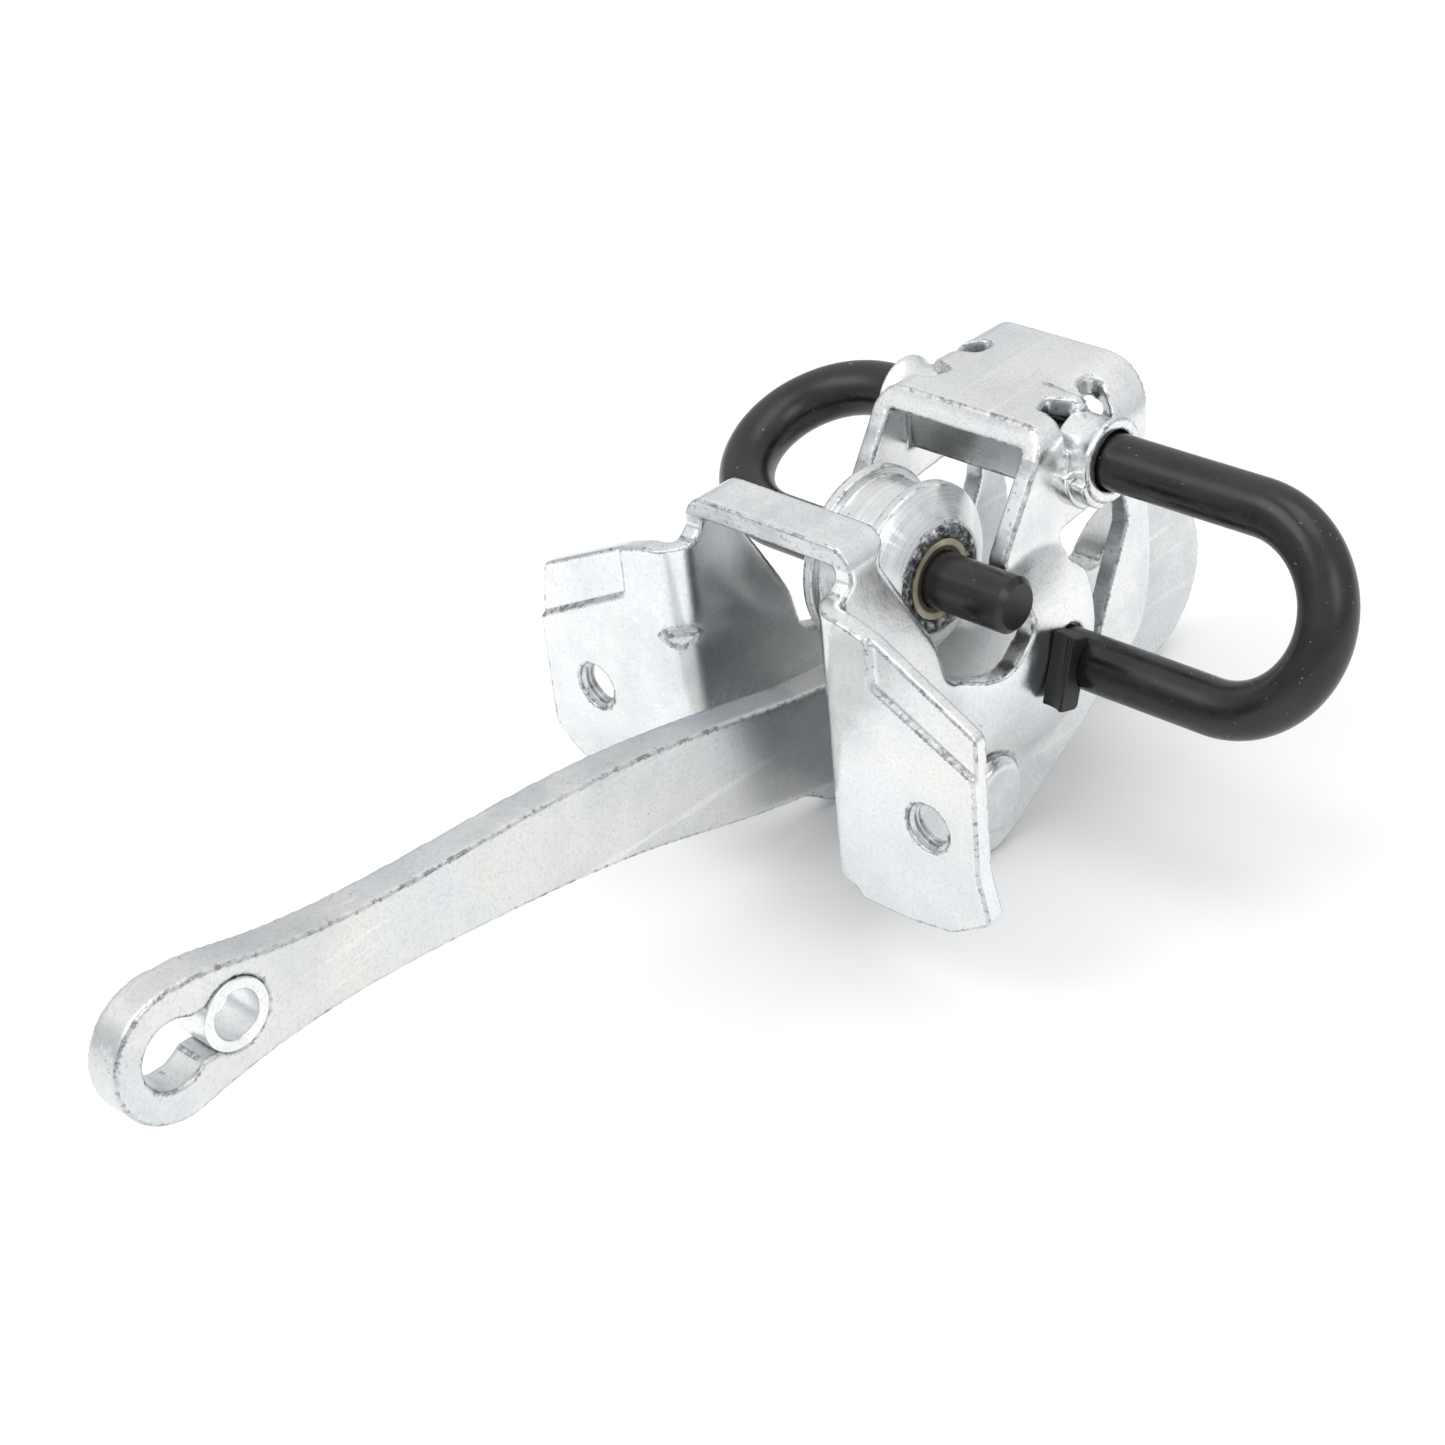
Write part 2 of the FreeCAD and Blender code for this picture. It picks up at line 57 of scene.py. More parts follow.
MM = 0.001
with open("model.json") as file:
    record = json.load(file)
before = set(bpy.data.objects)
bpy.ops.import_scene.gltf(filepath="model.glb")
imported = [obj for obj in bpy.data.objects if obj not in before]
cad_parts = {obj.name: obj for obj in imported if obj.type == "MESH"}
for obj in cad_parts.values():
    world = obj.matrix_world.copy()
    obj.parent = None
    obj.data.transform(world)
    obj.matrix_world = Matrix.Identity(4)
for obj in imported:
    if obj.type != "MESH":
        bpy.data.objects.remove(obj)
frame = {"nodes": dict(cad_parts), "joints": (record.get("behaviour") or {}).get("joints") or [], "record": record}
CAD_LOW, CAD_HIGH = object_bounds()

ROLLER_LOW, ROLLER_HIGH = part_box("roller")
ROLLER_AXIS = (ROLLER_LOW + ROLLER_HIGH) / 2
BUSH_LOW, BUSH_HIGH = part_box("roller_bush")
BUSH_R = (BUSH_HIGH.z - BUSH_LOW.z) / 2
BAR = next(Vector(j["pos_m"]) for j in frame["joints"] if j["name"] == "lever_lift")
HOLES = next(m for m in frame["record"]["mounts"] if m["name"] == "flange_holes")
HOLE_X = HOLES["dims"]["spacing_x_mm"] * MM / 2
HOLE_R = HOLES["dims"]["hole_r_mm"] * MM

SHEET = 3.0 * MM
BUSH_BORE_R = 4.1 * MM

# Vertices closer than this are one: in a new piece, and in a copied CAD node.
WELD = 0.002 * MM
CAD_WELD = 0.004 * MM

# Where the bracket's sheet shows its cut edge: in the side walls, between these distances from the
# middle, behind the flanges and below the roof, and in the webs at the height of the roof.
WALL_IN = 11.6 * MM
WALL_OUT = 14.8 * MM
FLANGE_BACK = 5.95 * MM
ROOF_BOTTOM = 28.5 * MM
WEB_BOTTOM = 29.2 * MM

# The camera: its direction from the origin, its roll, its distance, how far it stands off to the
# left and above that line, and its sensor and lens in millimetres.
CAMERA_AZIMUTH = math.radians(46.737)
CAMERA_ELEVATION = math.radians(32.039)
CAMERA_ROLL = math.radians(-6.374)
CAMERA_DISTANCE = 388.708 * MM
CAMERA_LEFT = 4.196 * MM
CAMERA_UP = 4.185 * MM
CAMERA_SENSOR = 36.0
CAMERA_LENS = 72.93


class DoorCheckSizes(bpy.types.PropertyGroup):
    """Sizes of the small finishing details."""

    grain: bpy.props.FloatProperty(
        name="Bracket grain",
        description="Size of the facets that soften the bracket's edges; smaller is crisper",
        default=0.32 * MM, min=0.2 * MM, unit="LENGTH",
    )
    arm_grain: bpy.props.FloatProperty(
        name="Arm grain",
        description="Size of the facets that soften the arm's edges; smaller is crisper",
        default=0.36 * MM, min=0.2 * MM, unit="LENGTH",
    )
    thread_pitch: bpy.props.FloatProperty(
        name="Thread pitch",
        description="Pitch of the thread in the flange holes",
        default=0.8 * MM, min=0.1 * MM, unit="LENGTH",
    )
    thread_depth: bpy.props.FloatProperty(
        name="Thread depth",
        description="Height of the thread's ridge inside the tapped hole",
        default=0.5 * MM, min=0.0, unit="LENGTH",
    )
    stake_width: bpy.props.FloatProperty(
        name="Staked ring width",
        description="Width of the punched ring round the roller's bush",
        default=2.1 * MM, min=0.1 * MM, unit="LENGTH",
    )


class DoorCheckColours(bpy.types.PropertyGroup):
    """Colours of the finishes."""

    zinc: bpy.props.FloatVectorProperty(
        name="Zinc plate", description="Bright zinc plating",
        default=(0.90, 0.905, 0.90), size=3, subtype="COLOR", min=0.0, max=1.0,
    )
    zinc_shade: bpy.props.FloatVectorProperty(
        name="Zinc shade", description="Cooler, darker clouds in the plating",
        default=(0.72, 0.745, 0.76), size=3, subtype="COLOR", min=0.0, max=1.0,
    )
    wire: bpy.props.FloatVectorProperty(
        name="Spring black", description="Satin black coat on the spring wire",
        default=(0.006, 0.006, 0.0065), size=3, subtype="COLOR", min=0.0, max=1.0,
    )
    bush: bpy.props.FloatVectorProperty(
        name="Bush", description="Pale bearing metal of the roller's bush",
        default=(0.70, 0.64, 0.48), size=3, subtype="COLOR", min=0.0, max=1.0,
    )
    floor: bpy.props.FloatVectorProperty(
        name="Floor", description="Pale studio floor",
        default=(0.97, 0.97, 0.97), size=3, subtype="COLOR", min=0.0, max=1.0,
    )


# ---------------------------------------------------------------- materials

def start_material(name):
    """A material on Object coordinates; returns it, its nodes, links, shader and coordinates."""
    mat = bpy.data.materials.new(name)
    mat.use_nodes = True
    nodes, links = mat.node_tree.nodes, mat.node_tree.links
    shader = nodes["Principled BSDF"]
    coords = nodes.new("ShaderNodeTexCoord")
    return mat, nodes, links, shader, coords.outputs["Object"]


def noise_at(nodes, links, vector, scale, detail=3.0, rough=0.55,
             stretch=(1, 1, 1), turn=(0, 0, 0)):
    """A noise texture, optionally stretched and turned; returns its factor output."""
    mapping = nodes.new("ShaderNodeMapping")
    mapping.inputs["Scale"].default_value = stretch
    mapping.inputs["Rotation"].default_value = turn
    links.new(vector, mapping.inputs["Vector"])
    tex = nodes.new("ShaderNodeTexNoise")
    tex.inputs["Scale"].default_value = scale
    tex.inputs["Detail"].default_value = detail
    tex.inputs["Roughness"].default_value = rough
    links.new(mapping.outputs["Vector"], tex.inputs["Vector"])
    return tex.outputs["Fac"]


def ramp(nodes, links, fac, stops):
    """A colour ramp through (position, colour) stops; returns its colour output."""
    node = nodes.new("ShaderNodeValToRGB")
    elements = node.color_ramp.elements
    for i, (place, colour) in enumerate(stops):
        element = elements[i] if i < 2 else elements.new(place)
        element.position = place
        if not isinstance(colour, (tuple, list)):
            colour = (colour, colour, colour)
        element.color = (*colour, 1)
    links.new(fac, node.inputs["Fac"])
    return node.outputs["Color"]


def mix(nodes, links, fac, a, b, blend="MIX"):
    """Two colours mixed by a factor; each may be an output or a plain colour."""
    node = nodes.new("ShaderNodeMix")
    node.data_type = "RGBA"
    node.blend_type = blend
    for key, value in (("Factor", fac), ("A", a), ("B", b)):
        socket = node.inputs[key]
        if isinstance(value, bpy.types.NodeSocket):
            links.new(value, socket)
        elif isinstance(value, (int, float)):
            socket.default_value = value
        else:
            socket.default_value = (*value[:3], 1)
    return node.outputs["Result"]


def veil(nodes, links, tint, fac, stops, colour):
    """A colour laid over a tint as strongly as the ramp of a factor says."""
    return mix(nodes, links, ramp(nodes, links, fac, stops), tint, colour)


def scaled(nodes, links, fac, low, high):
    """A factor remapped to a range."""
    node = nodes.new("ShaderNodeMapRange")
    node.inputs["From Min"].default_value = 0.3
    node.inputs["From Max"].default_value = 0.7
    node.inputs["To Min"].default_value = low
    node.inputs["To Max"].default_value = high
    links.new(fac, node.inputs["Value"])
    return node.outputs["Result"]


def bump(nodes, links, shader, height, strength, distance, below=None):
    """A bump on the shader's normal; returns its output, so another can build on it."""
    node = nodes.new("ShaderNodeBump")
    node.inputs["Strength"].default_value = strength
    node.inputs["Distance"].default_value = distance
    links.new(height, node.inputs["Height"])
    if below is not None:
        links.new(below, node.inputs["Normal"])
    links.new(node.outputs["Normal"], shader.inputs["Normal"])
    return node.outputs["Normal"]


def zinc_plate(name, rough=(0.17, 0.30), grain_turn=(0, 0, 0), speck=0.66, edge=0.0, shade=1.0):
    """Bright zinc plate: clouded, finely scratched, with small dark specks; edge adds more dark specks as wear,
    and shade darkens the whole tint, which is painted shade on the edge bands and the thread.
    """
    colours = bpy.context.scene.door_check_colours
    light = [c * shade for c in colours.zinc]
    dark = [c * shade for c in colours.zinc_shade]
    mat, nodes, links, shader, at = start_material(name)
    shader.inputs["Metallic"].default_value = 1.0
    cloud = noise_at(nodes, links, at, 70.0, 6.0, 0.68)
    tint = ramp(nodes, links, cloud, [(0.38, dark), (0.60, light)])
    warm = noise_at(nodes, links, at, 48.0, 2.0)
    tint = veil(nodes, links, tint, warm, [(0.5, 0.0), (0.68, 0.6)],
                (0.90 * shade, 0.885 * shade, 0.83 * shade))
    cool = noise_at(nodes, links, at, 38.0, 2.0, turn=(1, 2, 0))
    tint = veil(nodes, links, tint, cool, [(0.5, 0.0), (0.68, 0.5)],
                (0.80 * shade, 0.86 * shade, 0.90 * shade))
    scratch = noise_at(nodes, links, at, 520.0, 3.0, 0.6, (1, 0.05, 1), grain_turn)
    tint = veil(nodes, links, tint, scratch, [(0.60, 0.0), (0.70, 0.5)], (0.97, 0.97, 0.97))
    grain = noise_at(nodes, links, at, 2100.0, 4.0, 0.75)
    tint = veil(nodes, links, tint, grain, [(0.36, 0.32), (0.50, 0.0)],
                (0.45 * shade, 0.46 * shade, 0.47 * shade))
    fleck = noise_at(nodes, links, at, 700.0, 5.0, 0.75)
    tint = veil(nodes, links, tint, fleck,
                [(speck - edge, 0.0), (speck + 0.05 - edge * 0.7, 0.8)], (0.20, 0.205, 0.21))
    links.new(tint, shader.inputs["Base Color"])
    links.new(scaled(nodes, links, cloud, *rough), shader.inputs["Roughness"])
    first = bump(nodes, links, shader, grain, 0.35, 0.04 * MM)
    dents = noise_at(nodes, links, at, 260.0, 5.0, 0.7)
    second = bump(nodes, links, shader, dents, 0.3, 0.10 * MM, first)
    bump(nodes, links, shader, scratch, 0.25, 0.04 * MM, second)
    return mat


def sheared_steel(name):
    """The cut face of the sheet: darker, with streaks across its thickness."""
    mat, nodes, links, shader, at = start_material(name)
    shader.inputs["Metallic"].default_value = 1.0
    streak = noise_at(nodes, links, at, 260.0, 4.0, 0.6, (0.25, 1, 1))
    tint = ramp(nodes, links, streak, [(0.36, (0.42, 0.44, 0.46)), (0.60, (0.72, 0.74, 0.75))])
    pit = noise_at(nodes, links, at, 1500.0, 3.0, 0.7)
    tint = veil(nodes, links, tint, pit, [(0.58, 0.0), (0.68, 0.8)], (0.2, 0.2, 0.205))
    links.new(tint, shader.inputs["Base Color"])
    links.new(scaled(nodes, links, streak, 0.34, 0.52), shader.inputs["Roughness"])
    bump(nodes, links, shader, streak, 0.5, 0.12 * MM)
    return mat


def spring_coat(name, rough, fleck_level=0.72):
    """Satin black coat with a few pale dust specks."""
    colours = bpy.context.scene.door_check_colours
    mat, nodes, links, shader, at = start_material(name)
    fleck = noise_at(nodes, links, at, 1500.0, 2.0, 0.6)
    cloud = noise_at(nodes, links, at, 160.0, 3.0)
    black = tuple(colours.wire)
    paler = tuple(2.0 * c for c in colours.wire)
    tint = ramp(nodes, links, cloud, [(0.4, black), (0.65, paler)])
    tint = veil(nodes, links, tint, fleck,
                [(fleck_level, 0.0), (fleck_level + 0.03, 0.6)], (0.42, 0.42, 0.43))
    links.new(tint, shader.inputs["Base Color"])
    links.new(scaled(nodes, links, cloud, rough - 0.05, rough + 0.08), shader.inputs["Roughness"])
    shader.inputs["Specular IOR Level"].default_value = 0.5
    bump(nodes, links, shader, noise_at(nodes, links, at, 1100.0, 4.0, 0.6), 0.3, 0.05 * MM)
    return mat


def axis_distance(nodes, links, at, axis):
    """Distance from an axis along X, and the place along it."""
    shift = nodes.new("ShaderNodeVectorMath")
    shift.operation = "SUBTRACT"
    shift.inputs[1].default_value = axis
    links.new(at, shift.inputs[0])
    split = nodes.new("ShaderNodeSeparateXYZ")
    links.new(shift.outputs["Vector"], split.inputs["Vector"])
    flat = nodes.new("ShaderNodeCombineXYZ")
    links.new(split.outputs["Y"], flat.inputs["Y"])
    links.new(split.outputs["Z"], flat.inputs["Z"])
    length = nodes.new("ShaderNodeVectorMath")
    length.operation = "LENGTH"
    links.new(flat.outputs["Vector"], length.inputs[0])
    return length.outputs["Value"], split.outputs["X"]


def turned_steel(name, axis, spacing):
    """Zinc-plated turned steel: fine rings left by the tool about an axis along X."""
    colours = bpy.context.scene.door_check_colours
    mat, nodes, links, shader, at = start_material(name)
    shader.inputs["Metallic"].default_value = 1.0
    distance, along = axis_distance(nodes, links, at, axis)
    ring = nodes.new("ShaderNodeCombineXYZ")
    links.new(distance, ring.inputs["X"])
    links.new(along, ring.inputs["Y"])
    rings = noise_at(nodes, links, ring.outputs["Vector"], 1.0 / spacing, 3.0, 0.7)
    cloud = noise_at(nodes, links, at, 150.0, 3.0)
    dark, light = tuple(colours.zinc_shade), tuple(colours.zinc)
    tint = ramp(nodes, links, cloud, [(0.35, dark), (0.65, light)])
    tint = veil(nodes, links, tint, rings, [(0.40, 0.30), (0.54, 0.0)], (0.42, 0.43, 0.44))
    pit = noise_at(nodes, links, at, 1400.0, 3.0, 0.7)
    tint = veil(nodes, links, tint, pit, [(0.66, 0.0), (0.72, 0.7)], (0.15, 0.15, 0.155))
    links.new(tint, shader.inputs["Base Color"])
    links.new(scaled(nodes, links, rings, 0.20, 0.36), shader.inputs["Roughness"])
    bump(nodes, links, shader, rings, 0.35, 0.08 * MM)
    return mat


def punched_metal(name):
    """Crumpled metal of the staked ring: mottled by the noise that also makes its bump, near black in the dents,
    grey between and bright on the crests.
    """
    mat, nodes, links, shader, at = start_material(name)
    shader.inputs["Metallic"].default_value = 1.0
    lump = noise_at(nodes, links, at, 700.0, 5.0, 0.7)
    dent_dark, grey, bright = (0.07, 0.072, 0.075), (0.34, 0.35, 0.36), (0.85, 0.86, 0.87)
    tint = ramp(nodes, links, lump, [(0.46, dent_dark), (0.56, grey), (0.66, bright)])
    links.new(tint, shader.inputs["Base Color"])
    links.new(scaled(nodes, links, lump, 0.45, 0.22), shader.inputs["Roughness"])
    bump(nodes, links, shader, lump, 0.9, 0.4 * MM)
    return mat


def bearing_metal(name, axis, bore_r, outer_r):
    """Pale yellowish bearing metal, painted near black towards the bore as painted shade in the gap round the pin.
    """
    colours = bpy.context.scene.door_check_colours
    mat, nodes, links, shader, at = start_material(name)
    shader.inputs["Metallic"].default_value = 0.7
    cloud = noise_at(nodes, links, at, 500.0, 3.0)
    pale = tuple(colours.bush)
    dull = tuple(0.82 * c for c in colours.bush)
    tint = ramp(nodes, links, cloud, [(0.4, dull), (0.6, pale)])
    distance, _ = axis_distance(nodes, links, at, axis)
    # Painted shade: from the bore out to about a third of the bush's width the tint is near black, fading out by
    # about half way.
    bore_shade_span = nodes.new("ShaderNodeMapRange")
    bore_shade_span.inputs["From Min"].default_value = bore_r
    bore_shade_span.inputs["From Max"].default_value = outer_r
    links.new(distance, bore_shade_span.inputs["Value"])
    tint = veil(nodes, links, tint, bore_shade_span.outputs["Result"],
                [(0.35, 0.9), (0.55, 0.0)], (0.05, 0.042, 0.03))
    links.new(tint, shader.inputs["Base Color"])
    shader.inputs["Roughness"].default_value = 0.36
    bump(nodes, links, shader, cloud, 0.2, 0.05 * MM)
    return mat


def plain_floor(name):
    """Pale matt studio floor."""
    mat = bpy.data.materials.new(name)
    mat.use_nodes = True
    shader = mat.node_tree.nodes["Principled BSDF"]
    shader.inputs["Base Color"].default_value = (*bpy.context.scene.door_check_colours.floor, 1)
    shader.inputs["Roughness"].default_value = 0.9
    shader.inputs["Specular IOR Level"].default_value = 0.1
    return mat


# ---------------------------------------------------------------- pieces

def dress(obj, *materials):
    """Gives an object these materials, in order."""
    obj.data.materials.clear()
    for mat in materials:
        obj.data.materials.append(mat)


def dress_faces(obj, materials):
    """Gives an object these materials and keeps each face's own choice among them."""
    choice = [face.material_index for face in obj.data.polygons]
    dress(obj, *materials)
    obj.data.polygons.foreach_set("material_index", choice)


def add_object(name, bm):
    """Turns a bmesh into an object of the scene, and frees the bmesh."""
    mesh = bpy.data.meshes.new(name)
    bm.to_mesh(mesh)
    bm.free()
    obj = bpy.data.objects.new(name, mesh)
    bpy.context.scene.collection.objects.link(obj)
    return obj


def folded_past(edge, angle):
    """Whether the two faces at an edge meet at more than the given angle."""
    return len(edge.link_faces) == 2 and edge.calc_face_angle(0.0) > angle


def smooth_between(bm, sharp):
    """Smooth faces, with a sharp edge wherever two faces meet at more than the given angle."""
    for face in bm.faces:
        face.smooth = True
    for edge in bm.edges:
        edge.smooth = not folded_past(edge, sharp)


def add_piece(name, bm, materials, body, sharp):
    """Turns a bmesh into a piece that rides on a body; faces are smooth between sharp edges."""
    bmesh.ops.remove_doubles(bm, verts=bm.verts, dist=WELD)
    bmesh.ops.recalc_face_normals(bm, faces=bm.faces)
    smooth_between(bm, sharp)
    obj = add_object(name, bm)
    dress(obj, *materials)
    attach(obj, body)


def merged_copy(node):
    """A bmesh of a CAD node with its loose triangles joined."""
    bm = bmesh.new()
    bm.from_mesh(frame["nodes"][node].data)
    bmesh.ops.remove_doubles(bm, verts=bm.verts, dist=CAD_WELD)
    return bm


def stand_for(obj, node, body):
    """Shows an object in place of a CAD node, on its body."""
    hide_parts(node)
    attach(obj, body)


def refined_copy(node, name, materials, body, width, segments, angle):
    """A copy of a CAD node with rounded edges; the rounding gets the last material."""
    bm = merged_copy(node)
    bmesh.ops.dissolve_limit(bm, angle_limit=math.radians(0.4), verts=bm.verts, edges=bm.edges)
    smooth_between(bm, math.radians(angle))
    obj = add_object(name, bm)
    dress(obj, *materials)
    rounding = obj.modifiers.new("Edge round", "BEVEL")
    rounding.width = width
    rounding.segments = segments
    rounding.limit_method = "ANGLE"
    rounding.angle_limit = math.radians(angle)
    rounding.use_clamp_overlap = False
    rounding.harden_normals = True
    rounding.material = len(materials) - 1
    stand_for(obj, node, body)


def sharp_edge_marks(bm, angle=math.radians(34), spacing=0.3 * MM):
    """A search tree of points spaced along a bmesh's sharp edges."""
    marks = []
    for edge in bm.edges:
        if folded_past(edge, angle):
            start, end = edge.verts[0].co, edge.verts[1].co
            count = int((end - start).length / spacing) + 1
            marks += [start.lerp(end, (i + 0.5) / count) for i in range(count)]
    tree = kdtree.KDTree(len(marks))
    for i, mark in enumerate(marks):
        tree.insert(mark, i)
    tree.balance()
    return tree


def softened_copy(node, name, materials, body, grain, keep, wear_and_shade_reach, pick):
    """A copy of a CAD node with every edge softened: its surface is remeshed in facets of the size
    grain, smoothed, and thinned to the share keep. Faces within wear_and_shade_reach of a sharp edge get
    the last material, a band of wear specks darkened as painted shade, and pick(face) gives the others' material
    number."""
    bm = merged_copy(node)
    marks = sharp_edge_marks(bm)
    obj = add_object(name, bm)
    skin = obj.modifiers.new("Skin", "REMESH")
    skin.mode = "VOXEL"
    skin.voxel_size = grain
    soft = obj.modifiers.new("Soft edges", "SMOOTH")
    soft.factor = 0.5
    soft.iterations = 9
    fewer = obj.modifiers.new("Fewer faces", "DECIMATE")
    fewer.ratio = keep
    graph = bpy.context.evaluated_depsgraph_get()
    skinned = bpy.data.meshes.new_from_object(obj.evaluated_get(graph))
    obj.modifiers.clear()
    bm = bmesh.new()
    bm.from_mesh(skinned)
    for face in bm.faces:
        face.smooth = True
        _, _, reach = marks.find(face.calc_center_median())
        face.material_index = len(materials) - 1 if reach < wear_and_shade_reach else pick(face)
    bm.to_mesh(skinned)
    bm.free()
    obj.data = skinned
    obj.data.name = name
    dress_faces(obj, materials)
    stand_for(obj, node, body)


def ring_from(profile, centre, steps):
    """A bmesh spun about an axis along X through centre, from a closed profile of (x, radius)."""
    bm = bmesh.new()
    verts = [bm.verts.new((x, centre.y, centre.z + r)) for x, r in profile]
    edges = [bm.edges.new((verts[i], verts[(i + 1) % len(verts)])) for i in range(len(verts))]
    bmesh.ops.spin(
        bm, geom=verts + edges, cent=(0, centre.y, centre.z), axis=(1, 0, 0),
        angle=2 * math.pi, steps=steps, use_merge=True, use_duplicate=False,
    )
    return bm


class DOORCHECK_OT_bracket(bpy.types.Operator):
    """Finishes the folded bracket with sheared cut faces and edge bands of wear specks darkened as painted shade
    """

    bl_idname = "doorcheck.bracket"
    bl_label = "Bracket"

    def execute(self, context):
        sizes = context.scene.door_check_sizes
        plate = zinc_plate("zinc_plate_bracket")
        cut = sheared_steel("sheared_edge")
        # Edge bands: more dark specks as wear, and the tint darkened to 0.78 as painted shade along the sharp
        # edges.
        wear_and_shade = zinc_plate("wear_and_shade_zinc_edge", (0.25, 0.4), edge=0.165, shade=0.78)

        def pick(face):
            centre, normal = face.calc_center_median(), face.normal
            in_wall = (WALL_IN < abs(centre.x) < WALL_OUT
                       and centre.y > FLANGE_BACK and centre.z < ROOF_BOTTOM)
            in_web = abs(centre.x) < WALL_OUT and centre.z > WEB_BOTTOM
            wall_cut = in_wall and abs(normal.x) < 0.15
            web_cut = (in_web and abs(normal.z) < 0.15
                       and abs(normal.x) < 0.5 and abs(normal.y) > 0.5)
            return 1 if wall_cut or web_cut else 0

        softened_copy("bracket", "bracket_finish", (plate, cut, wear_and_shade), "mount",
                      sizes.grain, 0.42, 0.45 * MM, pick)
        return {"FINISHED"}


class DOORCHECK_OT_flange_threads(bpy.types.Operator):
    """Adds the thread ridges inside the two tapped flange holes"""

    bl_idname = "doorcheck.flange_threads"
    bl_label = "Flange threads"

    def execute(self, context):
        sizes = context.scene.door_check_sizes
        # Painted shade: the thread's zinc is darkened to 0.8 and given more dark specks, for the shade inside the
        # tapped holes.
        thread = zinc_plate("thread_zinc_shaded", (0.2, 0.35), edge=0.10, shade=0.8)
        pitch = sizes.thread_pitch
        turns = int(SHEET / pitch)
        turn_steps = 40
        start = 0.12 * MM
        root = HOLE_R + 0.05 * MM
        crest = HOLE_R - sizes.thread_depth
        ridge = ((root, start), (crest, start + pitch * 0.42), (root, start + pitch * 0.84))
        for side, label in ((-1, "left"), (1, "right")):
            bm = bmesh.new()
            x = side * HOLE_X
            face = bm.faces.new([bm.verts.new((x + r, y, 0)) for r, y in ridge])
            bmesh.ops.spin(
                bm, geom=[face], cent=(x, 0, 0), axis=(0, 1, 0), dvec=(0, pitch / turn_steps, 0),
                angle=2 * math.pi * turns, steps=turn_steps * turns, use_duplicate=False,
            )
            bmesh.ops.holes_fill(bm, edges=[e for e in bm.edges if e.is_boundary])
            add_piece("flange_thread_" + label, bm, (thread,), "mount",
                      math.radians(32))
        return {"FINISHED"}


class DOORCHECK_OT_bracket_details(bpy.types.Operator):
    """Adds the strap ends rolled under the torsion bar beside each collar"""

    bl_idname = "doorcheck.bracket_details"
    bl_label = "Strap ends"

    def execute(self, context):
        plate = zinc_plate("zinc_plate_details", shade=0.97)
        for side, label in ((-1, "left"), (1, "right")):
            self.strap_end("wall", plate, side, label, (12.4, 16.1), (5.0, 7.6), (180, 64))
            self.strap_end("neck", plate, side, label, (16.0, 18.3), (4.6, 6.9), (190, 62))
        return {"FINISHED"}

    def strap_end(self, what, plate, side, label, reach, radii, sweep):
        """A band that hugs the bar; sweep is where it starts, from +Y to +Z, and how far it turns."""
        bm = bmesh.new()
        start = math.radians(sweep[0])
        facing = Vector((0, math.cos(start), math.sin(start)))
        (near, far), (inner, outer) = reach, radii
        section = ((near, inner), (far, inner), (far, outer), (near, outer))
        face = bm.faces.new([
            bm.verts.new(Vector((side * x * MM, BAR.y, BAR.z)) + facing * r * MM)
            for x, r in section
        ])
        bmesh.ops.spin(
            bm, geom=[face], cent=(0, BAR.y, BAR.z), axis=(1, 0, 0),
            angle=math.radians(sweep[1]), steps=10, use_duplicate=False,
        )
        bmesh.ops.remove_doubles(bm, verts=bm.verts, dist=WELD)
        bmesh.ops.recalc_face_normals(bm, faces=bm.faces)
        hard = [e for e in bm.edges if folded_past(e, math.radians(50))]
        bmesh.ops.bevel(
            bm, geom=hard, offset=0.5 * MM, offset_type="OFFSET", segments=4,
            profile=0.5, affect="EDGES", material=-1, clamp_overlap=True,
        )
        add_piece("strap_end_" + what + "_" + label, bm, (plate,), "mount",
                  math.radians(60))


class DOORCHECK_OT_arm(bpy.types.Operator):
    """Finishes the check arm and the bush in its eye"""

    bl_idname = "doorcheck.arm"
    bl_label = "Check arm"

    def execute(self, context):
        sizes = context.scene.door_check_sizes
        face = zinc_plate("zinc_arm_face", (0.26, 0.40), shade=0.86)
        edge = zinc_plate("zinc_arm_edge", (0.28, 0.42), (0, 0, math.radians(90)),
                          edge=0.02, shade=0.84)
        # Edge bands: more dark specks as wear, and the tint darkened to 0.76 as painted shade along the sharp
        # edges.
        wear_and_shade = zinc_plate("wear_and_shade_arm_edge", (0.3, 0.45), edge=0.17, shade=0.76)

        def pick(bm_face):
            return 0 if abs(bm_face.normal.x) > 0.5 else 1

        softened_copy("check_arm", "check_arm_finish", (face, edge, wear_and_shade), "arm",
                      sizes.arm_grain, 0.5, 0.5 * MM, pick)
        bush = zinc_plate("zinc_eye_bush", (0.22, 0.34))
        refined_copy("eye_bush", "eye_bush_finish", (bush,), "arm",
                     0.25 * MM, 2, 40)
        return {"FINISHED"}


